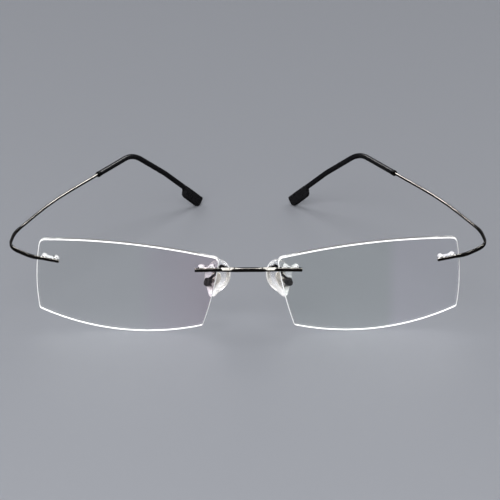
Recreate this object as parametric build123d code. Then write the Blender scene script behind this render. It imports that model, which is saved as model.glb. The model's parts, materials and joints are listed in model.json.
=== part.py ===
from build123d import *
import os
from math import cos, radians, sin, sqrt

# Rimless eyeglasses with flexible one-piece temples and no hinges, size 52-17-140.
# Units are millimetres. +X is the wearer's left, +Y runs back towards the ears and +Z is up.
# The glasses stand on the lower edges of their lenses and on the ends of their temples.
# Everything is drawn for the wearer's left side and mirrored across the middle plane.

# ---- lenses ----
LENS_CENTRE = (34.65, -2.3, 13.95)  # boxing centre of the left lens, on its front surface
LENS_RADIUS = 132.0                 # front surface, a 4-dioptre base curve
LENS_THICKNESS = 1.25
LENS_WRAP = 8.0                     # degrees that each lens turns back towards its temple
LENS_LEAN = 8.2                     # degrees that the top of each lens leans forward
EDGE_BEVEL = 0.25
# Each side of the outline: the corner it starts at, that corner's radius, and how far the side
# bows out from a straight line. Corners are across and up from the boxing centre.
LENS_SIDES = [
    ((24.4, 12.8), 2.0, 2.85),      # top outer corner, top side
    ((-26.6, 9.0), 1.8, 0.55),      # top inner corner, nasal side
    ((-21.3, -12.4), 1.0, 3.2),     # lower inner corner, lower side
    ((25.5, -9.3), 1.0, 0.85),      # lower outer corner, temple side
]

# ---- compression mounts: two pins in a double plastic sleeve, pushed through the lens ----
PIN_R = 0.45
PIN_STAND = 0.25                    # how far a pin stands out of its sleeve
SLEEVE_WALL = 0.3
FIT_GAP = 0.01                      # radial gap between a pin, its sleeve and the glass
COLLAR_R = 1.0
COLLAR_LENGTH = 0.7
WEB_HEIGHT = 1.1
WEB_THICKNESS = 0.5
SEAT_GAP = 0.05                     # between the metal, the glass and the collars
# Middle of each pair of pins, across and up in the lens outline, the pins' spacing, and how
# many degrees the pair climbs outwards.
NASAL_MOUNT = (-23.0, 6.0, 3.0, 0.0)
TEMPLE_MOUNT = (21.8, 7.16, 3.4, 4.5)

# ---- bridge ----
BRIDGE_DEPTH = 0.85
BRIDGE_END_HEIGHT = 1.0
BRIDGE_MID_HEIGHT = 1.15
BRIDGE_END_X = 15.0
BRIDGE_KNEE_X = 8.2                 # where the bar leaves the lens and bows forward
BRIDGE_CREST_X = 3.6
BRIDGE_BOW = 0.3
BRIDGE_BEND_R = 5.0
BAR_ROUND = 0.15

# ---- nose pads, and the arms, boxes and screws that carry them ----
ARM_R = 0.4
ARM_START_X = 5.0                   # where the arm leaves the back of the bridge
ARM_KNEE, ARM_KNEE_R = (7.6, -0.8, 20.1), 1.8
ARM_ELBOW, ARM_ELBOW_R = (9.6, 1.6, 16.5), 2.4
PAD_CENTRE = (8.6, 7.6, 13.9)
PAD_SPLAY = 45.0                    # degrees that the pad's face turns back from facing the nose
PAD_DOWN = (0.36, -0.17, -0.92)     # direction of the pad's long axis, downwards
PAD_WIDTH = 9.0
PAD_TOP = 4.7                       # pad outline above and below its centre
PAD_BOTTOM = 6.2
PAD_TIP_R = 1.1
PAD_TIP_X = 0.6                     # the tip stands to the front of the pad's long axis
PAD_THICKNESS = 2.6
PAD_ROUND = 0.9
CORE_LENGTH = 5.2                   # stiff core moulded into the soft pad
CORE_WIDTH = 3.6
CORE_RISE = 0.6                     # middle of the core's plate above the box
CORE_THICKNESS = 0.7
CORE_DEPTH = 0.5                    # soft material behind the core
LUG_WIDTH = 1.2                     # the core's lug, held by the box
LUG_R = 0.58
LUG_NECK = 0.9                      # height of the lug where it leaves the core
BOX_WALL = 0.4
BOX_SIDE_GAP = 0.06
BOX_HEIGHT = 2.4
BOX_DEPTH = 2.4
BOX_STAND = 0.3                     # gap between the box's rim and the pad
BOX_ROUND = 0.25
BOX_CORNER = 0.8                    # the cup's round ends, outside and inside
BOX_INNER_CORNER = 0.12
BOX_DROP = 2.15                     # how far the box sits below the pad's centre
ARM_END_DEPTH = 1.6                 # where the arm is soldered on the top of the box, from its rim
SCREW_DEPTH = 0.95                  # from the box's rim to the screw
SCREW_R = 0.35
SCREW_HEAD_R = 0.7
SCREW_HEAD = 0.35
SLOT_WIDTH = 0.2
SLOT_DEPTH = 0.15
RUN_GAP = 0.03                      # radial gap of the lug on its screw

# ---- temples ----
BAR_HEIGHT = 0.9
BAR_DEPTH = 0.75
BAR_PAST_PIN = 1.35
RIBBON_HEIGHT = 1.15
RIBBON_DEPTH = 0.65
RIBBON_ROUND = 0.2
WIRE_R = 0.42
TUBE_R = 0.8
TUBE_BORE_R = 0.44
RING_R = 0.88
RING_LENGTH = 0.9
# Corners of the temple's route and the radius of the bend at each.
FIRST_RUN = 5.4                     # from the middle of the pins to the first corner
FIRST_R = 8.0
ROUTE = [(67.9, 10.0, 22.0), (67.0, 21.0, 22.4), (57.6, 46.6, 23.1), (34.9, 88.5, 24.3), (25.1, 99.4, 14.4)]
ROUTE_R = [9.5, 25.0, 150.0, 13.4, 25.0]
TIP = (14.1, 112.1, 1.49)            # end of the tube's line, inside the tip block
BAR_END_RUN = 2.8                   # from the middle of the pins to the end of the flat bar
RIBBON_END = 0.3                    # where the ribbon ends, as a share of the third run
TUBE_START = 0.58                   # where the tube starts, as a share of the run to the ear
BLOCK_LENGTH = 10.2
BLOCK_SLANT = 0.7                   # how far the lower corner of the block's end stands back
BLOCK_LOW = 2.7                     # how far the block reaches below the tube's line
BLOCK_THICKNESS = 2.0
BLOCK_SHOULDER = 1.3
BLOCK_CORNER = 0.9
BLOCK_ROUND = 0.45
BLOCK_BORE = 5.0

# ---- joints ----
FLEX_CENTRE = (66.3, 9.5)           # vertical axis that the temple flexes about


def unit(vector):
    return Vector(*vector).normalized()


# ---- reference planes ----

def lens_plane():
    """Lens outline plane: x towards the temple, y up the lens, z forward."""
    wrap = radians(LENS_WRAP)
    lean = radians(LENS_LEAN)
    front = Vector(sin(wrap) * cos(lean), -cos(wrap) * cos(lean), -sin(lean))
    return Plane(origin=LENS_CENTRE, x_dir=(cos(wrap), sin(wrap), 0), z_dir=front)


def mount_plane(mount):
    """Plane that touches the lens at the middle of a pair of pins, x along the pair, z forward."""
    across, up, _, climb = mount
    lens = lens_plane()
    sag = LENS_RADIUS - sqrt(LENS_RADIUS**2 - across**2 - up**2)
    origin = lens.from_local_coords(Vector(across, up, -sag))
    centre = lens.from_local_coords(Vector(0, 0, -LENS_RADIUS))
    front = (origin - centre).normalized()
    level = Vector(-front.Y, front.X, 0).normalized()
    plane = Plane(origin=origin, x_dir=level, z_dir=front)
    return Plane(origin=origin, x_dir=level.rotate(Axis(plane.origin, plane.z_dir), climb), z_dir=front)


def pad_plane():
    """Pad plane: x across the pad, y up it, z towards the nose."""
    splay = radians(PAD_SPLAY)
    down = unit(PAD_DOWN)
    face = Vector(-cos(splay), sin(splay), 0)
    face = (face - down * face.dot(down)).normalized()
    return Plane(origin=PAD_CENTRE, x_dir=face.cross(down), z_dir=face)


# ---- lenses and their mounts ----

def bowed_side(start, end, bow):
    """Arc from start to end that bows out to the right of its way round the outline."""
    run = Vector(*end) - Vector(*start)
    out = Vector(run.Y, -run.X).normalized()
    middle = (Vector(*start) + Vector(*end)) * 0.5 + out * bow
    return ThreePointArc(start, middle, end)


def lens_outline():
    corners = [side[0] for side in LENS_SIDES]
    ends = corners[1:] + corners[:1]
    sides = [bowed_side(corner, end, bow) for (corner, _, bow), end in zip(LENS_SIDES, ends)]
    outline = make_face(sides)
    for corner, radius, _ in LENS_SIDES:
        nearest = outline.vertices().sort_by_distance(Vector(*corner))[0]
        outline = fillet(nearest, radius)
    return outline


def pins_at(mount, radius, low, high):
    """Two cylinders on a pair's pin axes, between two heights over the lens's front surface."""
    pitch = mount[2]
    height = high - low
    pin = Pos(0, 0, (low + high) / 2) * Cylinder(radius, height)
    pair = Pos(-pitch / 2, 0, 0) * pin + Pos(pitch / 2, 0, 0) * pin
    return mount_plane(mount).location * pair


def make_lens():
    plane = lens_plane()
    blank = extrude(plane * lens_outline(), amount=8, both=True)
    centre = plane.location * Pos(0, 0, -LENS_RADIUS) * Rot(0, 90, 0)
    back_radius = LENS_RADIUS - LENS_THICKNESS
    lens = (blank & centre * Sphere(LENS_RADIUS)) - centre * Sphere(back_radius)
    middle = centre.position
    rims = [
        edge for edge in lens.edges()
        if min(abs((edge @ 0.5 - middle).length - r) for r in (LENS_RADIUS, back_radius)) < 0.01
    ]
    lens = chamfer(rims, EDGE_BEVEL)
    hole_r = PIN_R + SLEEVE_WALL + 2 * FIT_GAP
    for mount in (NASAL_MOUNT, TEMPLE_MOUNT):
        lens -= pins_at(mount, hole_r, -6, 3)
    return lens


def make_double_sleeve(mount):
    pitch = mount[2]
    seat = -LENS_THICKNESS - SEAT_GAP
    end = seat - COLLAR_LENGTH
    bore_r = PIN_R + FIT_GAP
    sleeve = pins_at(mount, bore_r + SLEEVE_WALL, end, -SEAT_GAP)
    sleeve += pins_at(mount, COLLAR_R, end, seat)
    web = Box(pitch, WEB_HEIGHT, WEB_THICKNESS)
    sleeve += mount_plane(mount).location * Pos(0, 0, seat - WEB_THICKNESS / 2) * web
    return sleeve - pins_at(mount, bore_r, end - 1, 1)


def make_pins(mount):
    end = -LENS_THICKNESS - SEAT_GAP - COLLAR_LENGTH - PIN_STAND
    return pins_at(mount, PIN_R, end, SEAT_GAP + 0.2)


# ---- bridge ----

def bridge_plane():
    """Plan of the bridge: x across, y back, tilted to lie square on the lenses."""
    mount = mount_plane(NASAL_MOUNT)
    up = Vector(0, mount.z_dir.Z, -mount.z_dir.Y).normalized()
    return Plane(origin=(0, mount.origin.Y, mount.origin.Z), x_dir=(1, 0, 0), z_dir=up)


def bridge_half():
    """Corners of the bar's middle line on the left half: its end, its knee and its crest."""
    plane = bridge_plane()
    mount = mount_plane(NASAL_MOUNT)
    lift = SEAT_GAP + BRIDGE_DEPTH / 2
    seat = plane.to_local_coords(mount.origin + mount.z_dir * lift)
    toward = plane.to_local_coords(mount.origin + mount.z_dir * lift + mount.x_dir) - seat
    slope = toward.Y / toward.X
    end = (BRIDGE_END_X, seat.Y + slope * (BRIDGE_END_X - seat.X))
    knee = (BRIDGE_KNEE_X, seat.Y + slope * (BRIDGE_KNEE_X - seat.X))
    crest = (BRIDGE_CREST_X, knee[1] - BRIDGE_BOW)
    return end, knee, crest


def make_bridge_bar():
    plane = bridge_plane()
    half = bridge_half()
    middle = [(-x, y) for x, y in half] + [(x, y) for x, y in reversed(half)]
    line = FilletPolyline(*middle, radius=BRIDGE_BEND_R)
    across = Plane(origin=line @ 0, x_dir=(0, 0, 1), z_dir=line % 0)
    bar = sweep(across * Rectangle(2 * BRIDGE_MID_HEIGHT, BRIDGE_DEPTH), path=line)
    low = BRIDGE_END_HEIGHT / 2
    high = BRIDGE_MID_HEIGHT - low
    edge_x = BRIDGE_END_X + 1
    side = [(-edge_x, -low), (-edge_x, low), (-BRIDGE_KNEE_X, low), (-BRIDGE_CREST_X, high)]
    side += [(-x, z) for x, z in reversed(side)]
    bar &= extrude(Plane.XZ * make_face(Polyline(*side, close=True)), amount=20, both=True)
    long_edges = [edge for edge in bar.edges() if edge.length > 1.5]
    bar = fillet(long_edges, BAR_ROUND)
    bar = plane.location * bar
    for pins in (make_pins(NASAL_MOUNT), mirror(make_pins(NASAL_MOUNT), Plane.YZ)):
        bar += pins
    return bar


# ---- nose pads ----

def pad_point(x, y, z):
    return pad_plane().from_local_coords(Vector(x, y, z))


def screw_z():
    return -PAD_THICKNESS / 2 - BOX_STAND - SCREW_DEPTH


def make_pad_core():
    """Stiff core of the pad: a plate inside the soft pad and a lug that pivots on the screw."""
    back = -PAD_THICKNESS / 2
    plate_z = back + CORE_DEPTH + CORE_THICKNESS / 2
    plate = extrude(RectangleRounded(CORE_WIDTH, CORE_LENGTH, 1.6), amount=CORE_THICKNESS / 2, both=True)
    core = Pos(0, CORE_RISE - BOX_DROP, plate_z) * plate
    neck = plate_z - screw_z()
    core += Pos(0, -BOX_DROP, plate_z - neck / 2) * Box(LUG_WIDTH, LUG_NECK, neck)
    across = Pos(0, -BOX_DROP, screw_z()) * Rot(0, 90, 0)
    core += across * Cylinder(LUG_R, LUG_WIDTH)
    core -= across * Cylinder(SCREW_R + RUN_GAP, 4)
    return pad_plane().location * core


def make_nose_pad(core):
    top = Pos(0, PAD_TOP - PAD_WIDTH / 2) * Circle(PAD_WIDTH / 2)
    tip = Pos(PAD_TIP_X, PAD_TIP_R - PAD_BOTTOM) * Circle(PAD_TIP_R)
    outline = make_hull(top.edges() + tip.edges())
    pad = extrude(outline, amount=PAD_THICKNESS / 2, both=True)
    rims = pad.edges().group_by(Axis.Z)[-1] + pad.edges().group_by(Axis.Z)[0]
    pad = fillet(rims, PAD_ROUND)
    return pad_plane().location * pad - core


def box_width():
    return LUG_WIDTH + 2 * BOX_SIDE_GAP + 2 * BOX_WALL


def make_pad_box():
    """Metal cup that holds the pad's lug between its walls."""
    rim = -PAD_THICKNESS / 2 - BOX_STAND
    shell = extrude(RectangleRounded(box_width(), BOX_HEIGHT, BOX_CORNER), amount=BOX_DEPTH / 2, both=True)
    shell = fillet(shell.edges().group_by(Axis.Z)[0], BOX_ROUND)
    box = Pos(0, -BOX_DROP, rim - BOX_DEPTH / 2) * shell
    inside = BOX_DEPTH - BOX_WALL
    section = RectangleRounded(box_width() - 2 * BOX_WALL, BOX_HEIGHT - 2 * BOX_WALL, BOX_INNER_CORNER)
    cavity = extrude(section, amount=inside / 2, both=True)
    box -= Pos(0, -BOX_DROP, rim - inside / 2) * cavity
    box -= Pos(0, -BOX_DROP, screw_z()) * Rot(0, 90, 0) * Cylinder(SCREW_R + FIT_GAP, 6)
    return pad_plane().location * box


def make_pad_screw():
    half = box_width() / 2
    shaft = Cylinder(SCREW_R, 2 * half)
    head = Pos(0, 0, half + FIT_GAP + SCREW_HEAD / 2) * Cylinder(SCREW_HEAD_R, SCREW_HEAD)
    head += Pos(0, 0, half) * Cylinder(SCREW_R, 0.1)
    top = half + FIT_GAP + SCREW_HEAD
    head -= Pos(0, 0, top) * Box(4, SLOT_WIDTH, 2 * SLOT_DEPTH)
    screw = Pos(0, -BOX_DROP, screw_z()) * Rot(0, 90, 0) * (shaft + head)
    return pad_plane().location * screw


def make_pad_arm(bridge, box):
    """Wire from the back of the bridge, round behind the lens and down to the pad's box."""
    plane = bridge_plane()
    _, knee, crest = bridge_half()
    share = (ARM_START_X - BRIDGE_CREST_X) / (BRIDGE_KNEE_X - BRIDGE_CREST_X)
    depth = crest[1] + share * (knee[1] - crest[1])
    start = plane.from_local_coords(Vector(ARM_START_X, depth, 0))
    rim = -PAD_THICKNESS / 2 - BOX_STAND
    end = pad_point(0, (BOX_HEIGHT - BOX_WALL) / 2 - BOX_DROP, rim - ARM_END_DEPTH)
    line = FilletPolyline(start, ARM_KNEE, ARM_ELBOW, end, radius=[ARM_KNEE_R, ARM_ELBOW_R])
    arm = sweep(Plane(origin=line @ 0, z_dir=line % 0) * Circle(ARM_R), path=line)
    return keep_largest(arm - bridge - box)


def keep_largest(shape):
    return shape.solids().sort_by(SortBy.VOLUME)[-1]


# ---- temples ----

def temple_corners():
    """Temple route from the inner end of its flat bar: its corners, and the points that split it."""
    mount = mount_plane(TEMPLE_MOUNT)
    middle = mount.origin + mount.z_dir * (SEAT_GAP + BAR_DEPTH / 2)
    inner_end = middle - mount.x_dir * (TEMPLE_MOUNT[2] / 2 + BAR_PAST_PIN)
    bar_end = middle + mount.x_dir * BAR_END_RUN
    first = middle + mount.x_dir * FIRST_RUN
    corners = [first] + [Vector(*point) for point in ROUTE]
    return inner_end, bar_end, corners


def along(start, end, share):
    return start + (end - start) * share


def flat_section(line, height, depth, rounding):
    """Upright rounded rectangle across the start of a line."""
    tangent = line % 0
    up = (Vector(0, 0, 1) - tangent * tangent.Z).normalized()
    return Plane(origin=line @ 0, x_dir=up, z_dir=tangent) * RectangleRounded(height, depth, rounding)


def round_section(line, radius):
    return Plane(origin=line @ 0, z_dir=line % 0) * Circle(radius)


def make_temple_bar():
    inner_end, bar_end, _ = temple_corners()
    line = Line(inner_end, bar_end)
    bar = sweep(flat_section(line, BAR_HEIGHT, BAR_DEPTH, RIBBON_ROUND), path=line)
    return bar + make_pins(TEMPLE_MOUNT)


def make_flex_ribbon():
    _, bar_end, corners = temple_corners()
    end = along(corners[2], corners[3], RIBBON_END)
    line = FilletPolyline(bar_end, *corners[:3], end, radius=[FIRST_R] + ROUTE_R[:2])
    return sweep(flat_section(line, RIBBON_HEIGHT, RIBBON_DEPTH, RIBBON_ROUND), path=line)


def tip_direction():
    return (Vector(*TIP) - Vector(*ROUTE[-1])).normalized()


def block_start():
    return Vector(*TIP) - tip_direction() * BLOCK_LENGTH


def make_temple_wire():
    _, _, corners = temple_corners()
    start = along(corners[2], corners[3], RIBBON_END)
    end = block_start() + tip_direction() * BLOCK_BORE
    line = FilletPolyline(start, *corners[3:], end, radius=ROUTE_R[2:])
    return sweep(round_section(line, WIRE_R), path=line)


def tube_start():
    _, _, corners = temple_corners()
    return along(corners[3], corners[4], TUBE_START)


def make_temple_tube():
    _, _, corners = temple_corners()
    line = FilletPolyline(tube_start(), *corners[4:], block_start(), radius=ROUTE_R[3:])
    section = round_section(line, TUBE_R) - round_section(line, TUBE_BORE_R)
    return sweep(section, path=line)


def make_tube_ring():
    _, _, corners = temple_corners()
    forward = (corners[3] - corners[4]).normalized()
    ring = Cylinder(RING_R, RING_LENGTH) - Cylinder(TUBE_BORE_R, RING_LENGTH)
    ring = fillet(ring.edges().filter_by(GeomType.CIRCLE).sort_by(SortBy.RADIUS)[-2:], 0.2)
    return Plane(origin=tube_start() + forward * (RING_LENGTH / 2), z_dir=forward).location * ring


def make_tip_block():
    """Flattened end piece: its top continues the tube and its lower side steps down."""
    tangent = tip_direction()
    up = (Vector(0, 0, 1) - tangent * tangent.Z).normalized()
    plane = Plane(origin=block_start(), x_dir=tangent, z_dir=tangent.cross(up))
    side = Polyline(
        (0, TUBE_R), (BLOCK_LENGTH, TUBE_R), (BLOCK_LENGTH - BLOCK_SLANT, -BLOCK_LOW),
        (BLOCK_SHOULDER, -BLOCK_LOW), (0, -TUBE_R), close=True)
    block = extrude(make_face(side), amount=BLOCK_THICKNESS / 2, both=True)
    far = block.edges().filter_by(Axis.Z).sort_by(Axis.X)[-2:]
    block = fillet(far, BLOCK_CORNER)
    block = fillet(block.faces().filter_by(Axis.Z).edges(), BLOCK_ROUND)
    block -= Pos(BLOCK_BORE / 2, 0, 0) * Rot(0, 90, 0) * Cylinder(WIRE_R + FIT_GAP, BLOCK_BORE + 0.02)
    return plane.location * block


def make_parts():
    bridge = make_bridge_bar()
    box = make_pad_box()
    core = make_pad_core()
    left = {
        "lens": make_lens(),
        "nasal_double_sleeve": make_double_sleeve(NASAL_MOUNT),
        "temple_double_sleeve": make_double_sleeve(TEMPLE_MOUNT),
        "pad_arm": make_pad_arm(bridge, box),
        "pad_box": box,
        "pad_screw": make_pad_screw(),
        "pad_core": core,
        "nose_pad": make_nose_pad(core),
        "temple_bar": make_temple_bar(),
        "flex_ribbon": make_flex_ribbon(),
        "temple_wire": make_temple_wire(),
        "tube_ring": make_tube_ring(),
        "temple_tube": make_temple_tube(),
        "tip_block": make_tip_block(),
    }
    parts = {"bridge_bar": bridge}
    for name, shape in left.items():
        parts["left_" + name] = shape
        parts["right_" + name] = mirror(shape, Plane.YZ)
    return parts


def origin_shift(parts):
    """Move that puts the origin under the middle of the whole object, on the surface it stands on."""
    boxes = [part.bounding_box() for part in parts.values()]
    low_y = min(box.min.Y for box in boxes)
    high_y = max(box.max.Y for box in boxes)
    low_z = min(box.min.Z for box in boxes)
    return Vector(0, -(low_y + high_y) / 2, -low_z)


def print_places(shift):
    """Places that the record repeats, in millimetres from the object's origin."""
    pad = pad_plane()
    pivot = pad_point(0, -BOX_DROP, screw_z()) + shift
    grip = tube_start() + shift
    places = {
        "origin shift": shift,
        "flex axis": Vector(*FLEX_CENTRE, 0) + shift,
        "pad pivot": pivot,
        "pad pivot axis": pad.x_dir,
        "tube start": grip,
        "tube run": (Vector(*ROUTE[3]) - Vector(*ROUTE[2])).normalized(),
        "ear bend": Vector(*ROUTE[3]) + shift,
    }
    for name, place in places.items():
        print(f"{name}: {place.X:.3f}, {place.Y:.3f}, {place.Z:.3f}")


def main():
    parts = make_parts()
    shift = origin_shift(parts)
    os.makedirs("parts", exist_ok=True)
    for name, part in parts.items():
        export_step(Pos(shift) * part, f"parts/{name}.step")
    print_places(shift)


main()
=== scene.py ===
import json
from math import acos, atan2, copysign, cos, exp, pi, radians, sin, sqrt, tan

import bmesh
import bpy
from mathutils import Matrix, Vector


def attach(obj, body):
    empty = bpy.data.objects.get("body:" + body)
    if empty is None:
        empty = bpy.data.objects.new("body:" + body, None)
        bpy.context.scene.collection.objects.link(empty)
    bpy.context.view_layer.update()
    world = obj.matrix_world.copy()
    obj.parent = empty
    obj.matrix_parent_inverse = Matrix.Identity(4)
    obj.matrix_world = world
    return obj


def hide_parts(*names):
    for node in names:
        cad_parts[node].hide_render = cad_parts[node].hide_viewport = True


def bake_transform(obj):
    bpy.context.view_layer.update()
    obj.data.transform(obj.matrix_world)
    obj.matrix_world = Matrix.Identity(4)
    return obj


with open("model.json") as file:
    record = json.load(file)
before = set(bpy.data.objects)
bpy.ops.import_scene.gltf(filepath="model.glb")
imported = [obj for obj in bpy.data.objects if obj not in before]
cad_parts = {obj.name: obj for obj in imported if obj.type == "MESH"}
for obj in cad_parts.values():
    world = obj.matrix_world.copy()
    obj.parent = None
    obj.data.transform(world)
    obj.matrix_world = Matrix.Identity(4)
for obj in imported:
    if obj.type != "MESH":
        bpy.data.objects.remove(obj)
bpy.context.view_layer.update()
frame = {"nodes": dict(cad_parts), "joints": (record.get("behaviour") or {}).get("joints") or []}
joints = {joint["name"]: joint for joint in frame["joints"]}

# Rimless eyeglasses, drawn in millimetres for the wearer's left side: +X is the wearer's left, +Y
# runs back towards the ears and +Z is up. place() takes a drawn point to the frame's metres, and
# mirrors it for the wearer's right side.
SIDES = (("left", 1), ("right", -1))
FLEX_Y = 9.5                        # the temple's flexing axis in the drawing
SHIFT_Y = joints["left_temple_flex"]["pos_m"][1] * 1000 - FLEX_Y
SHIFT_Z = -0.013                    # stands the drawing on the floor

# ---- sizes of the lenses ----
LENS_CENTRE = Vector((34.65, -2.3, 13.95))
LENS_R = 132.0                      # front surface
LENS_THICK = 1.25
WRAP, LEAN = radians(8.0), radians(8.2)
BEVEL = 0.25
TRIM = 0.005                        # how far the rim stays inside the CAD lens
# Each side of the outline: the corner it starts at, that corner's radius, and how far it bows out.
LENS_SIDES = [
    ((24.4, 12.8), 2.0, 2.85),
    ((-26.6, 9.0), 1.8, 0.55),
    ((-21.3, -12.4), 1.0, 3.2),
    ((25.5, -9.3), 1.0, 0.85),
]
# How far out from the middle each ring of points on a lens's faces stands, as a share.
FACE_RINGS = [0.08, 0.2, 0.34, 0.48, 0.62, 0.74, 0.84, 0.92, 0.97, 1]
CORNER_STEPS = 10                   # in the rim, round each corner
SIDE_STEP, FEWEST_STEPS = 0.9, 12   # in the rim, along each side

# ---- sizes of the mounts: two pins in a double sleeve, through the lens ----
# Middle of the pins across and up the lens, their spacing, and how many degrees the pair climbs.
NASAL_MOUNT = (-23.0, 6.0, 3.0, 0.0)
TEMPLE_MOUNT = (21.8, 7.16, 3.4, 4.5)
HOLE_R = 0.77
SLEEVE_R, SLEEVE_BORE_R = 0.76, 0.46
COLLAR_R, COLLAR_LENGTH = 1.0, 0.7
WEB_TALL, WEB_DEEP = 1.15, 0.46
WEB_OVERLAP = 0.8                   # from a pin's axis to the end of the web
PIN_R = 0.45
PIN_TOP = 0.12                      # how far a pin runs into its bar
PIN_STAND = 0.25                    # how far it stands out of its sleeve
SEAT_GAP = 0.05
SEAT = LENS_THICK + SEAT_GAP
COLLAR_END = SEAT + COLLAR_LENGTH
PIN_END = COLLAR_END + PIN_STAND
WEB_MIDDLE = SEAT + 0.26

# ---- sizes of the bridge ----
BRIDGE_DEEP = 0.85
BRIDGE_TALL = 1.0                   # at its ends
BRIDGE_GROWTH = 0.15                # how much taller it is in the middle
BRIDGE_END_X, BRIDGE_KNEE_X, BRIDGE_CREST_X = 15.0, 8.2, 3.6
BRIDGE_BOW = 0.3
BRIDGE_BEND_R = 5.0
GROWTH_FADES = (3.0, 8.6)           # distances from the middle between which it loses that growth
FACET_DEEP, FACET_TALL = 0.55, 0.5  # the slanted facet along each flank
FACET_GROWS, FACET_FADES = (1.0, 5.0), (7.4, 8.2)  # distances from the middle, as above

# ---- sizes of the temples ----
BAR_DEEP, BAR_TALL = 0.75, 0.9
BAR_OVERHANG = 1.35                 # past the inner pin
BAR_END = 2.8                       # past the middle of the mount
TO_RIBBON = (-0.8, 1.6)             # from the end of the bar
RIBBON_DEEP, RIBBON_TALL = 0.65, 1.15
TO_ROUND = (27.0, 34.0)             # along the wire from its start
WIRE_ACROSS = 0.84
FIRST_BEND = 5.4                    # from the middle of the mount
FIRST_BEND_R = 8.0
ROUTE = [(67.9, 10.0, 22.0), (67.0, 21.0, 22.4), (57.6, 46.6, 23.1), (34.9, 88.5, 24.3), (25.1, 99.4, 14.4)]
ROUTE_R = [9.5, 25.0, 150.0, 13.4, 25.0]
TIP = Vector((14.1, 112.1, 1.49))
TUBE_ACROSS = 1.6
LIP_GROWTH, LIP_FADE = 0.05, 0.5    # of the sleeve's open end
TUBE_START = 0.58                   # share of the route's longest run
TUBE_IN_BLOCK, WIRE_IN_BLOCK = 0.4, 5.0
BLOCK_LENGTH = 10.2
BLOCK_TOP, BLOCK_LOW = 0.8, -2.7    # over the middle of the sleeve

# ---- sizes of the nose pads and their arms ----
PAD_CENTRE = Vector((8.6, 7.6, 13.9))
PAD_DOWN = Vector((0.36, -0.17, -0.92)).normalized()
PAD_SPLAY = radians(45)
PAD_TOP, PAD_BOTTOM = 4.7, 6.2      # over and under the centre
PAD_TOP_R, PAD_TIP_R = 4.5, 1.1
PAD_TIP_X = 0.6
PAD_BACK = 1.3                      # behind the centre
# The rim rows take a whiter, less clear material: a painted highlight for the bright outline that the clear
# pad's edges show.
PAD_HIGHLIGHT_RIM_ROWS = (7, 8)               # rows of the pad's skin that form its rim
BOX_DROP = 2.15
BOX_STAND = 0.3                     # gap between the box and the pad
ARM_ACROSS = 0.8
ARM_START_X = 5.0
ARM_KNEE, ARM_KNEE_R = (7.6, -0.8, 20.1), 1.8
ARM_ELBOW, ARM_ELBOW_R = (9.6, 1.6, 16.5), 2.4
ARM_END_UP, ARM_END_DEEP = 1.0, 1.6
FILLET_FLAT, FILLET_FADE = 0.35, 0.28
FOOT_GROWTH, FOOT_FADE = 0.2, 0.3


# ---- materials ----

def node_material(name):
    material = bpy.data.materials.new(name)
    material.use_nodes = True
    tree = material.node_tree
    shader = tree.nodes["Principled BSDF"]
    return material, tree, shader


def noise(tree, scale, detail=4.0, stretch=None):
    """Noise in object space, which stretch draws out along an axis."""
    coordinates = tree.nodes.new("ShaderNodeTexCoord")
    texture = tree.nodes.new("ShaderNodeTexNoise")
    texture.inputs["Scale"].default_value = scale
    texture.inputs["Detail"].default_value = detail
    source = coordinates.outputs["Object"]
    if stretch:
        mapping = tree.nodes.new("ShaderNodeMapping")
        mapping.inputs["Scale"].default_value = stretch
        tree.links.new(source, mapping.inputs["Vector"])
        source = mapping.outputs["Vector"]
    tree.links.new(source, texture.inputs["Vector"])
    return texture.outputs["Fac"]


def ramp(tree, source, stops):
    """Colour between stops, each a position from 0 to 1 and a colour."""
    made = tree.nodes.new("ShaderNodeValToRGB")
    while len(made.color_ramp.elements) < len(stops):
        made.color_ramp.elements.new(0.5)
    for element, (position, colour) in zip(made.color_ramp.elements, stops):
        element.position = position
        element.color = (*colour, 1)
    tree.links.new(source, made.inputs["Fac"])
    return made.outputs["Color"]


def map_range(tree, source, old, new):
    """Value that goes over the new range as the source goes over the old one."""
    made = tree.nodes.new("ShaderNodeMapRange")
    made.inputs["From Min"].default_value, made.inputs["From Max"].default_value = old
    made.inputs["To Min"].default_value, made.inputs["To Max"].default_value = new
    tree.links.new(source, made.inputs["Value"])
    return made.outputs["Result"]


def spread(tree, source, low, high):
    """Noise's middle range drawn out between two values."""
    return map_range(tree, source, (0.3, 0.7), (low, high))


def along(tree, space, axis, places, values=(0.0, 1.0)):
    """Value that goes from one value to the other between two places on an axis."""
    coordinates = tree.nodes.new("ShaderNodeTexCoord")
    parts = tree.nodes.new("ShaderNodeSeparateXYZ")
    tree.links.new(coordinates.outputs[space], parts.inputs["Vector"])
    return map_range(tree, parts.outputs[axis], places, values)


def bump(tree, shader, source, distance, strength):
    made = tree.nodes.new("ShaderNodeBump")
    made.inputs["Distance"].default_value = distance
    made.inputs["Strength"].default_value = strength
    tree.links.new(source, made.inputs["Height"])
    tree.links.new(made.outputs["Normal"], shader.inputs["Normal"])


def clear_to_lamps(tree, shader):
    """Lets lamps through a clear material, so that its own shadow isn't black."""
    path = tree.nodes.new("ShaderNodeLightPath")
    clear = tree.nodes.new("ShaderNodeBsdfTransparent")
    mix = tree.nodes.new("ShaderNodeMixShader")
    tree.links.new(path.outputs["Is Shadow Ray"], mix.inputs["Fac"])
    tree.links.new(shader.outputs["BSDF"], mix.inputs[1])
    tree.links.new(clear.outputs["BSDF"], mix.inputs[2])
    tree.links.new(mix.outputs["Shader"], tree.nodes["Material Output"].inputs["Surface"])


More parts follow.
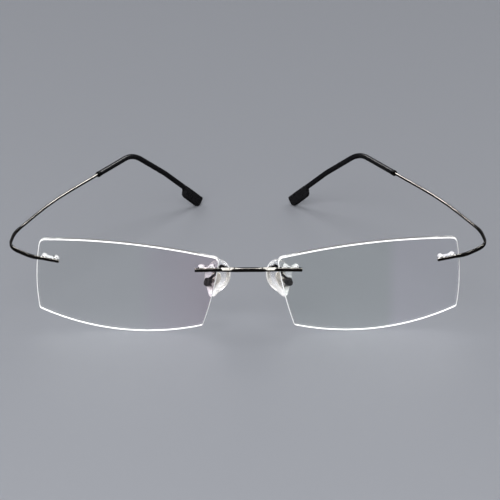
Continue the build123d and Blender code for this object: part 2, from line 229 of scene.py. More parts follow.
def metal(name, dark, light, rough):
    """Polished metal with fine drawing marks and a slightly uneven tone."""
    material, tree, shader = node_material(name)
    tone = noise(tree, 900.0, 3.0)
    tree.links.new(ramp(tree, tone, [(0.35, dark), (0.65, light)]), shader.inputs["Base Color"])
    shader.inputs["Metallic"].default_value = 1.0
    marks = noise(tree, 6000.0, 2.0)
    tree.links.new(spread(tree, marks, rough * 0.8, rough * 1.3), shader.inputs["Roughness"])
    bump(tree, shader, marks, 0.000002, 0.4)
    return material


def plastic(name, dark, light, rough, scale, grain):
    """Moulded plastic or rubber with a fine grain."""
    material, tree, shader = node_material(name)
    tone = noise(tree, scale, 4.0)
    tree.links.new(ramp(tree, tone, [(0.3, dark), (0.7, light)]), shader.inputs["Base Color"])
    tree.links.new(spread(tree, tone, rough * 0.85, rough * 1.2), shader.inputs["Roughness"])
    bump(tree, shader, noise(tree, scale * 6, 2.0), grain, 0.5)
    return material


def glass(name, rough):
    """Clear material with the refraction of lens plastic."""
    material, tree, shader = node_material(name)
    shader.inputs["Roughness"].default_value = rough
    shader.inputs["IOR"].default_value = 1.5
    shader.inputs["Transmission Weight"].default_value = 1.0
    clear_to_lamps(tree, shader)
    return material, tree, shader


def glass_with_painted_reflections():
    """Clear lens with painted reflections: colour bands from one temple to the other stand in for its
    coating's tinted reflections.
    """
    material, tree, shader = glass("lens_clear", 0.0)
    # Painted reflection: these greenish, purple and lavender bands stand in for the coating's reflections,
    # not a tint of the lens itself.
    stops = [
        (0.0, (0.95, 0.965, 0.955)),    # right temple, greenish
        (0.24, (0.93, 0.95, 0.94)),
        (0.28, (0.92, 0.9, 0.93)),
        (0.45, (0.89, 0.8, 0.86)),      # right side of the nose, purple
        (0.55, (0.87, 0.905, 0.885)),   # left side of the nose, greenish
        (0.82, (0.885, 0.92, 0.9)),
        (0.85, (0.98, 0.97, 1.0)),
        (1.0, (0.98, 0.98, 1.0)),       # left temple, lavender
    ]
    tint = ramp(tree, along(tree, "Object", "X", (-0.06, 0.06)), stops)
    tree.links.new(tint, shader.inputs["Base Color"])
    return material


def ground_edge(name, tone, clear_low, clear_high, rough):
    """Ground rim of a lens: bright and satin, with the wheel's fine marks, and clearer higher up, which is
    painted light: its milkier lower rim stands in for the glow of light piped through the lens.
    """
    material, tree, shader = glass(name, rough)
    marks = noise(tree, 2600.0, 3.0, (1, 1, 0.2))
    shades = ramp(tree, marks, [(0.3, (tone - 0.05,) * 3), (0.7, (tone + 0.05,) * 3)])
    tree.links.new(shades, shader.inputs["Base Color"])
    tree.links.new(spread(tree, marks, rough * 0.8, rough * 1.2), shader.inputs["Roughness"])
    # Painted light: the rim turns milkier lower down and clearer higher up, standing in for the glow that
    # light piped through the lens gives its lower rim.
    clear = along(tree, "Object", "Z", (0.008, 0.018), (clear_low, clear_high))
    tree.links.new(clear, shader.inputs["Transmission Weight"])
    bump(tree, shader, marks, 0.000004, 0.5)
    return material


def silicone(name, colour, rough, clear, clear_foot=None):
    """Clear soft plastic with a milky body, which may be milkier towards its lower end; that milkier foot is
    painted light, standing in for the white glow of the part's lower end.
    """
    material, tree, shader = node_material(name)
    cloud = noise(tree, 700.0, 3.0)
    low = tuple(c * 0.95 for c in colour)
    tree.links.new(ramp(tree, cloud, [(0.3, low), (0.7, colour)]), shader.inputs["Base Color"])
    shader.inputs["Roughness"].default_value = rough
    shader.inputs["IOR"].default_value = 1.42
    shader.inputs["Transmission Weight"].default_value = clear
    if clear_foot:
        # Painted light: milkier lower down, for the white glow of the lower end.
        share = along(tree, "Object", "Z", (0.009, 0.0145), (clear_foot, clear))
        tree.links.new(share, shader.inputs["Transmission Weight"])
    bump(tree, shader, noise(tree, 1500.0, 2.0), 0.000006, 0.4)
    clear_to_lamps(tree, shader)
    return material


LENS = glass_with_painted_reflections()
BEVEL_EDGE = ground_edge("lens_bevel", 0.86, 0.0, 0.0, 0.45)
# The side rim's clearness rising with height is painted light, a whiter lower rim for the glow of piped
# light.
SIDE_EDGE = ground_edge("lens_side", 0.93, 0.5, 0.9, 0.35)
LENS_MATERIALS = [LENS, BEVEL_EDGE, SIDE_EDGE]
TITANIUM = metal("titanium", (0.4, 0.38, 0.35), (0.5, 0.475, 0.44), 0.13)
# Painted shade: the pad arms and boxes are the frame's titanium, given this near-black copy of it because
# they show dark.
PAD_SHADED_TITANIUM = metal("pad_arm_painted_shade_titanium", (0.07, 0.065, 0.065), (0.11, 0.1, 0.1), 0.2)
SCREW = metal("screw_steel", (0.5, 0.48, 0.46), (0.6, 0.58, 0.56), 0.18)
CORE = metal("pad_core_metal", (0.86, 0.8, 0.7), (0.95, 0.9, 0.8), 0.35)
RING = metal("tube_ring_metal", (0.03, 0.03, 0.03), (0.05, 0.05, 0.05), 0.25)
TUBE = plastic("temple_tube_rubber", (0.004, 0.004, 0.005), (0.008, 0.008, 0.009), 0.22, 1500.0, 0.000003)
BLOCK = plastic("tip_block_plastic", (0.005, 0.005, 0.006), (0.01, 0.01, 0.011), 0.28, 1200.0, 0.000005)
SLEEVE = silicone("clear_sleeve_plastic", (0.95, 0.95, 0.96), 0.1, 0.68)
# The nose pad's milkier foot, 0.45 clear, is painted light.
PAD = silicone("nose_pad_silicone", (0.97, 0.97, 0.98), 0.1, 0.94, 0.45)
# Painted highlight: a whiter, less clear copy of the pad's silicone for its bright rim.
PAD_RIM_PAINTED_HIGHLIGHT = silicone("nose_pad_rim_painted_highlight", (0.99, 0.99, 0.99), 0.2, 0.6)


# ---- mesh helpers ----

def place(point, side):
    """A drawn point in the row's frame, mirrored for the wearer's right side."""
    return Vector((point[0] * side, point[1] + SHIFT_Y, point[2] + SHIFT_Z)) / 1000


def make_piece(name, verts, faces, side, materials, kinds=None, sharp=40):
    """Mesh object from drawn points. kinds gives a material index for each face."""
    mesh = bpy.data.meshes.new(name)
    mesh.from_pydata([place(v, side) for v in verts], [], [tuple(f) for f in faces])
    for material in materials:
        mesh.materials.append(material)
    if kinds:
        mesh.polygons.foreach_set("material_index", kinds)
    work = bmesh.new()
    work.from_mesh(mesh)
    bmesh.ops.recalc_face_normals(work, faces=work.faces)
    work.to_mesh(mesh)
    work.free()
    mesh.polygons.foreach_set("use_smooth", [True] * len(mesh.polygons))
    mesh.set_sharp_from_angle(angle=radians(sharp))
    made = bpy.data.objects.new(name, mesh)
    bpy.context.scene.collection.objects.link(made)
    return made


def join_shapes(*shapes):
    verts, faces = [], []
    for more_verts, more_faces in shapes:
        base = len(verts)
        verts += more_verts
        faces += [[i + base for i in face] for face in more_faces]
    return verts, faces


def ring_faces(rows, count):
    """Faces between rings of points that follow each other, with count points in each."""
    faces = []
    for r in range(rows - 1):
        for k in range(count):
            a, b = r * count + k, r * count + (k + 1) % count
            faces.append([a, b, b + count, a + count])
    return faces


def skin_faces(rows, count):
    """Faces of a closed skin: those between its rings, and one across each end."""
    last = (rows - 1) * count
    ends = [list(range(count)), [last + k for k in reversed(range(count))]]
    return ring_faces(rows, count) + ends


def smooth_step(value, low, high):
    share = max(0, min(1, (value - low) / (high - low)))
    return share * share * (3 - 2 * share)


def arc_points(centre, radius, start, end, count):
    out = []
    for i in range(count + 1):
        a = start + (end - start) * i / count
        out.append((centre[0] + radius * cos(a), centre[1] + radius * sin(a)))
    return out


def rounded_path(corners, radii, step=3.0):
    """Points along straight runs joined by tangent arcs, a step of degrees apart."""
    corners = [Vector(c) for c in corners]
    points = [corners[0]]
    for i, radius in enumerate(radii, 1):
        back = (corners[i - 1] - corners[i]).normalized()
        ahead = (corners[i + 1] - corners[i]).normalized()
        half = acos(max(-1, min(1, back.dot(ahead)))) / 2
        reach = radius / tan(half)
        middle = (back + ahead).normalized()
        centre = corners[i] + middle * (radius / sin(half))
        first = corners[i] + back * reach - centre
        last = corners[i] + ahead * reach - centre
        turn = pi - 2 * half
        count = max(3, int(turn / radians(step)))
        for k in range(count + 1):
            share = k / count
            a = sin((1 - share) * turn) / sin(turn)
            b = sin(share * turn) / sin(turn)
            points.append(centre + first * a + last * b)
    points.append(corners[-1])
    return points


def resample(points, step):
    """Even points along a path, and their distances from its start."""
    lengths = [0.0]
    for a, b in zip(points, points[1:]):
        lengths.append(lengths[-1] + (b - a).length)
    count = max(2, round(lengths[-1] / step))
    out, runs, k = [], [], 0
    for i in range(count + 1):
        run = lengths[-1] * i / count
        while k < len(points) - 2 and lengths[k + 1] < run:
            k += 1
        share = (run - lengths[k]) / max(1e-9, lengths[k + 1] - lengths[k])
        out.append(points[k].lerp(points[k + 1], min(1, share)))
        runs.append(run)
    return out, runs


def ring_section(width, height, power, count):
    """Closed section that goes from a circle, at power 2, towards a rectangle."""
    out = []
    for i in range(count):
        a = 2 * pi * i / count
        x = copysign(abs(cos(a)) ** (2 / power), cos(a)) * width / 2
        y = copysign(abs(sin(a)) ** (2 / power), sin(a)) * height / 2
        out.append((x, y))
    return out


def sweep(points, section, cap, count, upright=Vector((0, 0, 1))):
    """Skin of a section that may change along a path, closed with ends domed by cap."""
    last = len(points) - 1
    dome = [(sin(a), -cos(a) * cap) for a in (radians(8), radians(30), radians(52), radians(72))]
    rows = [(0, size, push) for size, push in dome]
    rows += [(i, 1.0, 0.0) for i in range(last + 1)]
    rows += [(last, size, -push) for size, push in reversed(dome)]
    verts = []
    for i, size, push in rows:
        tangent = (points[min(i + 1, last)] - points[max(i - 1, 0)]).normalized()
        up = (upright - tangent * tangent.dot(upright)).normalized()
        across = tangent.cross(up)
        for x, y in section(i, count):
            verts.append(points[i] + tangent * push + across * (x * size) + up * (y * size))
    return verts, skin_faces(len(rows), count)


def turn_profile(profile, origin, axis, across, count):
    """Rings of points of a profile of (radius, height) turned about an axis."""
    side = axis.cross(across)
    verts = []
    for radius, height in profile:
        for k in range(count):
            a = 2 * pi * k / count
            verts.append(origin + axis * height + across * (radius * cos(a)) + side * (radius * sin(a)))
    return verts


def turned_solid(profile, origin, axis, across, count):
    """Turned skin, closed by a flat face at each end of its profile."""
    verts = turn_profile(profile, origin, axis, across, count)
    return verts, skin_faces(len(profile), count)


def turned_ring(profile, origin, axis, across, count):
    """Turned skin of a ring, whose profile closes on itself."""
    verts = turn_profile(profile, origin, axis, across, count)
    faces = ring_faces(len(profile) + 1, count)
    return verts, [[i % len(verts) for i in face] for face in faces]


# ---- lens ----

FRONT = Vector((sin(WRAP) * cos(LEAN), -cos(WRAP) * cos(LEAN), -sin(LEAN)))
ACROSS = Vector((cos(WRAP), sin(WRAP), 0))
UP = FRONT.cross(ACROSS)


def on_lens(x, y, z):
    """Point from across and up in the outline's plane, and height over it."""
    return LENS_CENTRE + ACROSS * x + UP * y + FRONT * z


def sag(x, y, radius):
    return radius - sqrt(radius * radius - x * x - y * y)


def side_circle(start, end, bow):
    """Centre and radius of a bowed side of the outline."""
    run = Vector((end[0] - start[0], end[1] - start[1]))
    half = run.length / 2
    radius = (half * half + bow * bow) / (2 * bow)
    out = Vector((run.y, -run.x)).normalized()
    middle = Vector(start) + run / 2
    centre = middle - out * (radius - bow)
    return centre, radius


def corner_centre(one, two, rounding, near):
    """Centre of the round corner inside two circles."""
    (c1, r1), (c2, r2) = one, two
    a, b = r1 - rounding, r2 - rounding
    gap = c2 - c1
    d = gap.length
    along_gap = (a * a - b * b + d * d) / (2 * d)
    height = sqrt(a * a - along_gap * along_gap)
    base = c1 + gap * (along_gap / d)
    normal = Vector((-gap.y, gap.x)) / d
    options = (base + normal * height, base - normal * height)
    return min(options, key=lambda p: (p - Vector(near)).length)


def lens_outline(inset):
    """Outline of the lens, once round, with its side arcs and round corners."""
    count = len(LENS_SIDES)
    corners = [side[0] for side in LENS_SIDES]
    circles = [side_circle(corners[i], corners[(i + 1) % count], LENS_SIDES[i][2]) for i in range(count)]
    rounds = [corner_centre(circles[i - 1], circles[i], LENS_SIDES[i][1], corners[i]) for i in range(count)]
    outline = []
    for i in range(count):
        rounding = LENS_SIDES[i][1]
        centre = rounds[i]
        before = centre - circles[i - 1][0]
        after = centre - circles[i][0]
        a, b = atan2(before.y, before.x), atan2(after.y, after.x)
        turn = (b - a) % (2 * pi)
        outline += arc_points(centre, rounding - inset, a, a + turn, CORNER_STEPS)
        side_centre, radius = circles[i]
        following = rounds[(i + 1) % count] - side_centre
        c = atan2(following.y, following.x)
        swing = (c - b) % (2 * pi)
        steps = max(FEWEST_STEPS, int(radius * swing / SIDE_STEP))
        outline += arc_points(side_centre, radius - inset, b, b + swing, steps)[1:-1]
    return outline


def lens_skin():
    """Skin of a lens without its holes, and a kind for each face: 0 polished, 1 bevel, 2 side."""
    rim, inner = lens_outline(TRIM), lens_outline(BEVEL + TRIM)
    back_r = LENS_R - LENS_THICK
    rings = [(inner, share, LENS_R, 0) for share in FACE_RINGS]
    rings += [(rim, 1, LENS_R, BEVEL), (rim, 1, back_r, LENS_THICK - BEVEL)]
    rings += [(inner, share, back_r, LENS_THICK) for share in reversed(FACE_RINGS)]
    verts = []
    for outline, share, radius, depth in rings:
        for x, y in outline:
            x, y = x * share, y * share
            verts.append(on_lens(x, y, -sag(x, y, radius) - depth))
    edge = len(FACE_RINGS)
    edge_kinds = {edge - 1: 1, edge: 2, edge + 1: 1}
    kinds = [edge_kinds.get(r, 0) for r in range(len(rings) - 1) for _ in rim] + [0, 0]
    return verts, skin_faces(len(rings), len(rim)), kinds


def make_lens(side_name, side):
    """Meniscus lens with polished faces, a ground rim, safety bevels and drilled holes."""
    verts, faces, kinds = lens_skin()
    lens = make_piece(side_name + "_lens_glass", verts, faces, side, LENS_MATERIALS, kinds, 30)
    drills = []
    for mount in (NASAL_MOUNT, TEMPLE_MOUNT):
        origin, across, _, front = mount_frame(mount)
        for offset in (-mount[2] / 2, mount[2] / 2):
            middle = origin + across * offset
            drills.append(turned_solid([(HOLE_R, -5), (HOLE_R, 2)], middle, front, across, 32))
    verts, faces = join_shapes(*drills)
    cutter = make_piece("cutter", verts, faces, side, LENS_MATERIALS, [2] * len(faces), 30)
    cut = lens.modifiers.new("holes", "BOOLEAN")
    cut.operation, cut.solver, cut.object = "DIFFERENCE", "EXACT", cutter
    settle(lens)
    bpy.data.objects.remove(cutter)
    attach(lens, "front")
    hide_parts(side_name + "_lens")


def settle(piece):
    """Turns a piece's modifiers into its mesh."""
    graph = bpy.context.evaluated_depsgraph_get()
    mesh = bpy.data.meshes.new_from_object(piece.evaluated_get(graph))
    piece.modifiers.clear()
    piece.data = mesh


# ---- mounts ----

def mount_frame(mount):
    """Origin on the front of the lens between two pins, and the directions across, up and forward."""
    across, up, _, climb = mount
    origin = on_lens(across, up, -sag(across, up, LENS_R))
    centre = on_lens(0, 0, -LENS_R)
    front = (origin - centre).normalized()
    level = Vector((-front.y, front.x, 0)).normalized()
    level = Matrix.Rotation(radians(climb), 3, front) @ level
    return origin, level, front.cross(level), front


def pin_shapes(mount):
    """Two pins, each with a domed cut end and a brazed fillet under the bar."""
    origin, across, _, front = mount_frame(mount)
    profile = [
        (0.08, -PIN_END), (0.3, 0.02 - PIN_END), (0.4, 0.1 - PIN_END), (0.445, 0.2 - PIN_END),
        (PIN_R, -0.3), (PIN_R, -0.02), (0.5, PIN_TOP - 0.1), (0.58, PIN_TOP),
    ]
    shapes = []
    for offset in (-mount[2] / 2, mount[2] / 2):
        shapes.append(turned_solid(profile, origin + across * offset, front, across, 32))
    return shapes


def make_double_sleeve(side_name, side, mount, node):
    """Clear bush: a tube through the lens and a rounded collar for each pin, joined by a web."""
    origin, across, _, front = mount_frame(mount)
    profile = [
        (SLEEVE_BORE_R, -0.05), (0.7, -0.05), (SLEEVE_R, -0.1), (SLEEVE_R, -LENS_THICK), (0.8, -SEAT),
        (0.96, -SEAT - 0.02), (COLLAR_R, -SEAT - 0.09), (COLLAR_R, 0.3 - COLLAR_END),
        (0.96, 0.15 - COLLAR_END), (0.86, 0.05 - COLLAR_END), (0.7, -COLLAR_END),
        (0.52, 0.01 - COLLAR_END), (SLEEVE_BORE_R, 0.09 - COLLAR_END),
    ]
    shapes = []
    for offset in (-mount[2] / 2, mount[2] / 2):
        shapes.append(turned_ring(profile, origin + across * offset, front, across, 48))
    reach = mount[2] / 2 - WEB_OVERLAP
    line = [origin + across * x - front * WEB_MIDDLE for x in (-reach, 0, reach)]

    def web(i, count):
        pinch = 0.85 if i == 1 else 1.0
        return ring_section(WEB_TALL * pinch, WEB_DEEP, 3.5, count)

    shapes.append(sweep(line, web, cap=0.05, count=24, upright=front))
    verts, faces = join_shapes(*shapes)
    piece = make_piece(side_name + node + "_bush", verts, faces, side, [SLEEVE], sharp=50)
    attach(piece, "front")
    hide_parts(side_name + node)


# ---- bridge ----

def bridge_line():
    """Corners of the bar's middle line from side to side, and the direction of its height."""
    origin, across, _, front = mount_frame(NASAL_MOUNT)
    tilt = Vector((0, front.z, -front.y)).normalized()
    back = tilt.cross(Vector((1, 0, 0)))
    seat = origin + front * (SEAT_GAP + BRIDGE_DEEP / 2)
    plane = Vector((0, origin.y, origin.z))

    def flat(point):
        return (point - plane).x, (point - plane).dot(back)

    (seat_x, seat_y), (next_x, next_y) = flat(seat), flat(seat + across)
    slope = (next_y - seat_y) / (next_x - seat_x)
    end = (BRIDGE_END_X, seat_y + slope * (BRIDGE_END_X - seat_x))
    knee = (BRIDGE_KNEE_X, seat_y + slope * (BRIDGE_KNEE_X - seat_x))
    crest = (BRIDGE_CREST_X, knee[1] - BRIDGE_BOW)
    half = [end, knee, crest]
    both = [(-x, y) for x, y in half] + [(x, y) for x, y in reversed(half)]
    return [plane + Vector((x, 0, 0)) + back * y for x, y in both], tilt


def make_bridge():
    """Bridge bar, taller between the lenses and faceted on both flanks, with its four pins."""
    corners, tilt = bridge_line()
    points, _ = resample(rounded_path(corners, [BRIDGE_BEND_R] * 4), step=0.35)

    def section(i, count):
        out = abs(points[i].x)
        rise = 1 - smooth_step(out, *GROWTH_FADES)
        height = BRIDGE_TALL + BRIDGE_GROWTH * rise
        flank = smooth_step(out, *FACET_GROWS) * (1 - smooth_step(out, *FACET_FADES))
        made = []
        for x, y in ring_section(BRIDGE_DEEP, height, 9.0, count):
            over = (x - BRIDGE_DEEP / 2) / FACET_DEEP + (y - height / 2) / FACET_TALL + flank
            cut = max(0, over) / 2
            made.append((x - cut * FACET_DEEP, y - cut * FACET_TALL + BRIDGE_GROWTH / 2 * rise))
        return made

    shapes = [sweep(points, section, cap=0.12, count=40, upright=tilt)]
    left = pin_shapes(NASAL_MOUNT)
    shapes += left
    shapes += [([Vector((-v.x, v.y, v.z)) for v in verts], faces) for verts, faces in left]
    verts, faces = join_shapes(*shapes)
    bridge = make_piece("bridge_bar_metal", verts, faces, 1, [TITANIUM], sharp=35)
    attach(bridge, "front")
    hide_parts("bridge_bar")


# ---- temples ----

def temple_corners():
    """Start of the bar, middle of the mount, and the corners of the wire's route after it."""
    origin, across, _, front = mount_frame(TEMPLE_MOUNT)
    middle = origin + front * (SEAT_GAP + BAR_DEEP / 2)
    inner = middle - across * (TEMPLE_MOUNT[2] / 2 + BAR_OVERHANG)
    first = middle + across * FIRST_BEND
    return inner, middle, [first] + [Vector(p) for p in ROUTE]


def tip_direction():
    return (TIP - Vector(ROUTE[-1])).normalized()


def block_start():
    return TIP - tip_direction() * BLOCK_LENGTH


def make_wire(side_name, side):
    """One length of wire: flat bar on the lens, taller ribbon round the bend, then round wire."""
    inner, middle, corners = temple_corners()
    end = block_start() + tip_direction() * WIRE_IN_BLOCK
    points, runs = resample(rounded_path([inner, *corners, end], [FIRST_BEND_R] + ROUTE_R), step=0.45)
    bar_end = (middle - inner).length + BAR_END

    def section(i, count):
        to_ribbon = smooth_step(runs[i], bar_end + TO_RIBBON[0], bar_end + TO_RIBBON[1])
        to_round = smooth_step(runs[i], *TO_ROUND)
        width = BAR_DEEP + (RIBBON_DEEP - BAR_DEEP) * to_ribbon + (WIRE_ACROSS - RIBBON_DEEP) * to_round
        height = BAR_TALL + (RIBBON_TALL - BAR_TALL) * to_ribbon + (WIRE_ACROSS - RIBBON_TALL) * to_round
        power = 4.0 - 2.0 * to_round
        return ring_section(width, height, power, count)

    shapes = [sweep(points, section, cap=0.15, count=32)] + pin_shapes(TEMPLE_MOUNT)
    verts, faces = join_shapes(*shapes)
    wire = make_piece(side_name + "_temple_one_piece_wire", verts, faces, side, [TITANIUM], sharp=35)
    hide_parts(side_name + "_temple_bar", side_name + "_flex_ribbon", side_name + "_temple_wire")
    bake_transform(wire)


def tube_line():
    """Start of the black sleeve, and the corners of its route."""
    _, _, corners = temple_corners()
    start = corners[3].lerp(corners[4], TUBE_START)
    return start, [start, *corners[4:], block_start() + tip_direction() * TUBE_IN_BLOCK]


def make_tube(side_name, side):
    """Black sleeve over the wire, a little fuller at its open end."""
    _, corners = tube_line()
    points, runs = resample(rounded_path(corners, ROUTE_R[3:]), step=0.5)

    def section(i, count):
        lip = LIP_GROWTH * exp(-runs[i] / LIP_FADE)
        return ring_section(TUBE_ACROSS + lip, TUBE_ACROSS + lip, 2, count)

    verts, faces = sweep(points, section, cap=0.25, count=36)
    tube = make_piece(side_name + "_temple_sleeve", verts, faces, side, [TUBE], sharp=50)
    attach(tube, side_name + "_temple")
    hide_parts(side_name + "_temple_tube")


def make_ring(side_name, side):
    """Crimped collar at the start of the sleeve, with a groove round it."""
    start, corners = tube_line()
    ahead = (corners[1] - start).normalized()
    across = Vector((0, 0, 1)).cross(ahead).normalized()
    profile = [
        (0.44, 0.02), (0.74, 0.02), (0.85, -0.06), (0.88, -0.14), (0.88, -0.34), (0.83, -0.4),
        (0.83, -0.5), (0.88, -0.56), (0.88, -0.76), (0.84, -0.85), (0.7, -0.9), (0.44, -0.9),
    ]
    verts, faces = turned_ring(profile, start, ahead, across, 48)
    ring = make_piece(side_name + "_sleeve_collar", verts, faces, side, [RING], sharp=35)
    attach(ring, side_name + "_temple")
    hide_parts(side_name + "_tube_ring")


def make_block(side_name, side):
    """End block: its top follows the sleeve and its lower side steps down to a flat paddle."""
    tangent = tip_direction()
    up = (Vector((0, 0, 1)) - tangent * tangent.z).normalized()
    across = tangent.cross(up)
    start = block_start()
    top, low = BLOCK_TOP, BLOCK_LOW
    # Distance along the block, its top and its foot there, its width, and how square its section is.
    stations = [
        (-0.35, 0.78, -0.78, 1.56, 2.0), (0.0, top, -0.8, 1.62, 2.1), (0.45, top, -0.95, 1.7, 2.3),
        (0.9, top, -1.6, 1.82, 2.8), (1.35, top, low + 0.35, 1.92, 3.4), (1.9, top, low + 0.08, 1.98, 3.8),
        (2.8, top, low, 2.0, 4.0), (5.0, top, low, 2.0, 4.0), (7.4, top, low, 2.0, 4.0),
        (8.7, top, low, 2.0, 4.0), (9.1, top, low + 0.08, 1.98, 4.0), (9.4, 0.79, low + 0.3, 1.94, 3.9),
        (9.65, 0.77, low + 0.75, 1.88, 3.8), (9.9, 0.7, low + 1.5, 1.4, 3.4),
        (10.08, 0.55, low + 2.1, 1.0, 3.0), (10.18, 0.3, low + 2.6, 0.6, 2.6),
    ]
    count = 40
    verts = []
    for distance, high, foot, width, power in stations:
        middle, height = (high + foot) / 2, high - foot
        for x, y in ring_section(width, height, power, count):
            verts.append(start + tangent * distance + across * x + up * (middle + y))
    faces = skin_faces(len(stations), count)
    block = make_piece(side_name + "_tip_paddle", verts, faces, side, [BLOCK], sharp=60)
    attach(block, side_name + "_temple")
    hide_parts(side_name + "_tip_block")


# ---- nose pads ----

def pad_point(x, y, z):
    """Point from across, up and out of the face of the pad."""
    face = Vector((-cos(PAD_SPLAY), sin(PAD_SPLAY), 0))
    face = (face - PAD_DOWN * face.dot(PAD_DOWN)).normalized()
    return PAD_CENTRE + face.cross(PAD_DOWN) * x + -PAD_DOWN * y + face * z


def pad_outline(count):
    """Teardrop: a round top and a smaller round tip, joined by tangents."""
    top = Vector((0, PAD_TOP - PAD_TOP_R))
    tip = Vector((PAD_TIP_X, PAD_TIP_R - PAD_BOTTOM))
    out = []
    for i in range(count):
        a = 2 * pi * i / count
        direction = Vector((sin(a), cos(a)))
        if top.dot(direction) + PAD_TOP_R >= tip.dot(direction) + PAD_TIP_R:
            out.append(top + direction * PAD_TOP_R)
        else:
            out.append(tip + direction * PAD_TIP_R)
    return out


def make_pad(side_name, side):
    """Soft clear pad: a crowned face, a rolled rim, and a shallow dish at the back round the lug."""
    count = 96
    outline = pad_outline(count)
    middle = Vector((0, -0.5))
    # How far out from the middle each row of points stands, as a share, and its height.
    profile = [
        (0.12, 1.34), (0.3, 1.32), (0.48, 1.26), (0.64, 1.14), (0.77, 0.96), (0.87, 0.72), (0.945, 0.42),
        (0.985, 0.12), (1.0, -0.2), (0.99, -0.55), (0.96, -0.86), (0.915, -1.1), (0.86, -1.26), (0.79, -1.3),
        (0.72, -1.2), (0.62, -1.02), (0.5, -0.92), (0.34, -0.88), (0.14, -0.87),
    ]
    verts = []
    for share, z in profile:
        for x, y in outline:
            verts.append(pad_point(middle.x + (x - middle.x) * share, middle.y + (y - middle.y) * share, z))
    faces = skin_faces(len(profile), count)
    # Rim rows get the painted highlight material, the rest the clear silicone.
    kinds = [int(r in PAD_HIGHLIGHT_RIM_ROWS) for r in range(len(profile) - 1) for _ in range(count)] + [0, 0]
    pad = make_piece(side_name + "_nose_pad_soft", verts, faces, side, [PAD, PAD_RIM_PAINTED_HIGHLIGHT], kinds, sharp=80)
    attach(pad, side_name + "_pad")
    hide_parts(side_name + "_nose_pad")


def make_arm(side_name, side):
    """Pad arm: wire with a solder fillet at the bridge and a fuller foot on the pad's box."""
    _, _, _, crest, knee, _ = bridge_line()[0]
    start = crest.lerp(knee, (ARM_START_X - BRIDGE_CREST_X) / (BRIDGE_KNEE_X - BRIDGE_CREST_X))
    end = pad_point(0, ARM_END_UP - BOX_DROP, -PAD_BACK - BOX_STAND - ARM_END_DEEP)
    route = [start, Vector(ARM_KNEE), Vector(ARM_ELBOW), end]
    points, runs = resample(rounded_path(route, [ARM_KNEE_R, ARM_ELBOW_R]), step=0.18)
    total = runs[-1]

    def section(i, count):
        past_bar = max(0, runs[i] - FILLET_FLAT)
        fillet = min(0.35, 0.45 * exp(-(past_bar / FILLET_FADE) ** 2))
        foot = FOOT_GROWTH * exp(-(total - runs[i]) / FOOT_FADE)
        size = ARM_ACROSS + fillet + foot
        return ring_section(size, min(size, 1.05), 2, count)

    verts, faces = sweep(points, section, cap=0.1, count=28)
    arm = make_piece(side_name + "_pad_arm_wire", verts, faces, side, [PAD_SHADED_TITANIUM], sharp=50)
    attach(arm, "front")
    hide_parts(side_name + "_pad_arm")


def paint(node, material):
    """Gives a CAD node its finished material."""
    mesh = frame["nodes"][node].data
    mesh.materials.clear()
    mesh.materials.append(material)


# ---- the object ----

make_bridge()
for side_name, side in SIDES:
    make_lens(side_name, side)
    make_double_sleeve(side_name, side, NASAL_MOUNT, "_nasal_double_sleeve")
    make_double_sleeve(side_name, side, TEMPLE_MOUNT, "_temple_double_sleeve")
    make_wire(side_name, side)
    make_tube(side_name, side)
    make_ring(side_name, side)
    make_block(side_name, side)
    make_pad(side_name, side)
    make_arm(side_name, side)
    # Pad boxes take the titanium copy darkened as painted shade.
    paint(side_name + "_pad_box", PAD_SHADED_TITANIUM)
    paint(side_name + "_pad_screw", SCREW)
    paint(side_name + "_pad_core", CORE)


# ---- stage ----

def make_floor():
    """Plain grey floor, just under the object and left out of its reflections."""
    half = 3.0
    mesh = bpy.data.meshes.new("floor")
    corners = [(-half, -half, 0), (half, -half, 0), (half, half, 0), (-half, half, 0)]
    mesh.from_pydata(corners, [], [(0, 1, 2, 3)])
    floor = bpy.data.objects.new("floor", mesh)
    bpy.context.scene.collection.objects.link(floor)
    floor.location.z = -0.00003
    material, _, shader = node_material("floor_grey")
    shader.inputs["Base Color"].default_value = (0.168, 0.175, 0.193, 1)
    shader.inputs["Roughness"].default_value = 0.5
    shader.inputs["Specular IOR Level"].default_value = 0.3
    mesh.materials.append(material)
    floor.visible_glossy = False


def area_light(name, where, size, power, aim=(0, 0, 0), in_gloss=True, through_glass=True):
    """Soft rectangular lamp, which may be left out of reflections and of what shows through glass."""
    data = bpy.data.lights.new(name, "AREA")
    data.shape = "RECTANGLE"
    data.size, data.size_y = size
    data.energy = power
    light = bpy.data.objects.new(name, data)
    light.location = where
    light.rotation_euler = (Vector(aim) - Vector(where)).to_track_quat("-Z", "Y").to_euler()
    light.visible_glossy = in_gloss
    light.visible_transmission = through_glass
    bpy.context.scene.collection.objects.link(light)


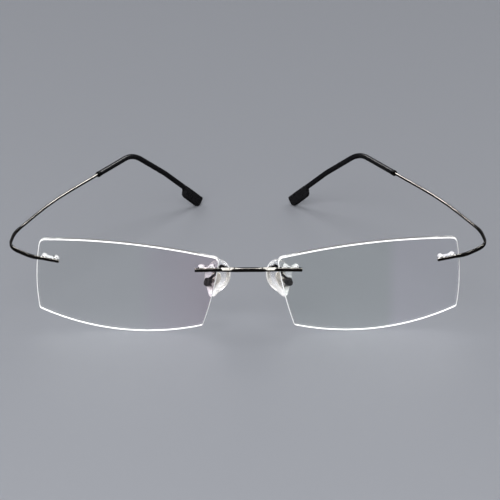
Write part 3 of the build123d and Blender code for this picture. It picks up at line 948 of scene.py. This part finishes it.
def make_lights():
    """Soft boxes over and behind the object, a fill in front, and strips and cards for highlights."""
    area_light("top_softbox", (0.0, 0.1, 1.05), (0.7, 0.35), 4.5)
    area_light("front_strip", (0.0, -0.45, 0.95), (0.5, 0.6), 2.2)
    area_light("front_fill", (-0.2, -0.95, 0.6), (0.9, 0.6), 21.5, (0, 0, 0.01),
               in_gloss=False, through_glass=False)
    for side in (-1, 1):
        area_light("back_softbox", (0.53 * side, 0.68, 0.68), (0.7, 0.7), 4.5, in_gloss=False)
        area_light("back_card", (0.41 * side, 0.76, 0.67), (0.3, 0.1), 0.8)
        area_light("side_strip", (0.9 * side, -0.1, 0.45), (0.05, 0.6), 0.5, (0, 0, 0.01))


def make_sky():
    """Dim studio, a little brighter overhead."""
    world = bpy.data.worlds.new("studio")
    world.use_nodes = True
    tree = world.node_tree
    # From straight down, at 0, through the horizon to straight up, at 1.
    tones = [
        (0.0, (0.01, 0.01, 0.01)),
        (0.5, (0.012, 0.012, 0.013)),
        (0.56, (0.03, 0.03, 0.032)),
        (0.85, (0.05, 0.05, 0.053)),
        (1.0, (0.16, 0.165, 0.175)),
    ]
    height = along(tree, "Generated", "Z", (-1.0, 1.0))
    tree.links.new(ramp(tree, height, tones), tree.nodes["Background"].inputs["Color"])
    bpy.context.scene.world = world


def make_camera():
    """Long lens from in front of the glasses and about 20 degrees above them."""
    rise, yaw, roll = radians(19.562), radians(0.478), radians(-0.085)
    distance, lift = 0.9, 0.00035
    target = place((0.692, 27.981, 14.0), 1)
    ahead = Vector((sin(yaw) * cos(rise), cos(yaw) * cos(rise), -sin(rise)))
    right = Vector((cos(yaw), -sin(yaw), 0))
    up = right.cross(ahead)
    right, up = right * cos(roll) + up * sin(roll), up * cos(roll) - right * sin(roll)
    data = bpy.data.cameras.new("camera")
    data.lens, data.sensor_width = 223.2, 36.0
    data.clip_start, data.clip_end = 0.05, 20.0
    camera = bpy.data.objects.new("camera", data)
    turn = Matrix((right, up, -ahead)).transposed()
    camera.matrix_world = Matrix.Translation(target - ahead * distance + up * lift) @ turn.to_4x4()
    bpy.context.scene.collection.objects.link(camera)
    bpy.context.scene.camera = camera


make_floor()
make_lights()
make_sky()
make_camera()
bpy.context.scene.view_settings.view_transform = "Standard"
